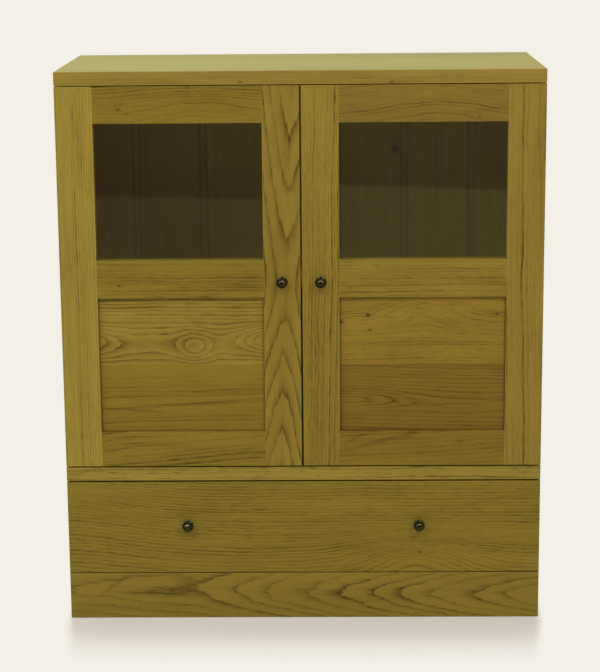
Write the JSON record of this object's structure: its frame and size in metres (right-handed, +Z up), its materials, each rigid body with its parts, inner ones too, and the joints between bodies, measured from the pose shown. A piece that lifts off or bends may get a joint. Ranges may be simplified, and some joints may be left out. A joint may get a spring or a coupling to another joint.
{
  "type": "glass-front cabinet",
  "caption": "Oak cabinet with a pair of framed doors, glass above a flat panel, over one full-width drawer, on a flush plinth; doors swing and the drawer slides.",
  "frame": {"origin": "on the floor, under the middle of the whole cabinet, knobs included", "axes": "+X to the right seen from the front, +Y to the back, +Z up"},
  "size_m": [0.9, 0.424, 1.05],
  "materials": {
    "oak": "satin oil, straight and cathedral grain",
    "back_oak": "thin satin oil",
    "drawer_wood": "planed and waxed, pale",
    "dowel_wood": "plain beech",
    "glass": "clear float glass",
    "bronze": "dark antique bronze, glossy",
    "brass": "turned, bright",
    "steel": "zinc plated",
    "catch_plastic": "brown moulded"
  },
  "bodies": {
    "carcass": {"back_board_1": "back_oak", "back_board_2": "back_oak", "back_board_3": "back_oak", "back_board_4": "back_oak", "back_board_5": "back_oak", "back_board_6": "back_oak", "back_board_7": "back_oak", "bottom_board": "back_oak", "carcass_dowels": "dowel_wood", "drawer_runner_left": "dowel_wood", "drawer_runner_right": "dowel_wood", "magnet_catches": "catch_plastic", "mid_board": "oak", "pivot_bushes": "brass", "plinth_back": "back_oak", "plinth_corner_blocks": "dowel_wood", "plinth_front": "oak", "plinth_left": "oak", "plinth_right": "oak", "shelf": "oak", "shelf_pins": "brass", "side_left": "oak", "side_right": "oak", "top_board": "oak", "wood_screws": "steel"},
    "left_door": {"left_door_bottom_rail": "oak", "left_door_glass": "glass", "left_door_glazing_beads": "oak", "left_door_hinge_stile": "oak", "left_door_knob": "bronze", "left_door_knob_screw": "steel", "left_door_meeting_stile": "oak", "left_door_middle_rail": "oak", "left_door_panel_lower": "oak", "left_door_panel_upper": "oak", "left_door_pivot_pins": "brass", "left_door_strike_plate": "steel", "left_door_top_rail": "oak"},
    "right_door": {"right_door_bottom_rail": "oak", "right_door_glass": "glass", "right_door_glazing_beads": "oak", "right_door_hinge_stile": "oak", "right_door_knob": "bronze", "right_door_knob_screw": "steel", "right_door_meeting_stile": "oak", "right_door_middle_rail": "oak", "right_door_panel_lower": "oak", "right_door_panel_upper": "oak", "right_door_pivot_pins": "brass", "right_door_strike_plate": "steel", "right_door_top_rail": "oak"},
    "drawer": {"drawer_back": "drawer_wood", "drawer_bottom": "drawer_wood", "drawer_front": "oak", "drawer_knob_left": "bronze", "drawer_knob_right": "bronze", "drawer_knob_screws": "steel", "drawer_side_left": "drawer_wood", "drawer_side_right": "drawer_wood"}
  },
  "joints": [
    {"name": "left_door_swing", "type": "hinge", "parent": "carcass", "child": "left_door", "pos_m": [-0.441, -0.175, 0.66], "axis": [0, 0, -1], "range_deg": [0, 95]},
    {"name": "right_door_swing", "type": "hinge", "parent": "carcass", "child": "right_door", "pos_m": [0.441, -0.175, 0.66], "axis": [0, 0, 1], "range_deg": [0, 95]},
    {"name": "drawer_slide", "type": "slide", "parent": "carcass", "child": "drawer", "axis": [0, -1, 0], "range_m": [0, 0.27]}
  ]
}
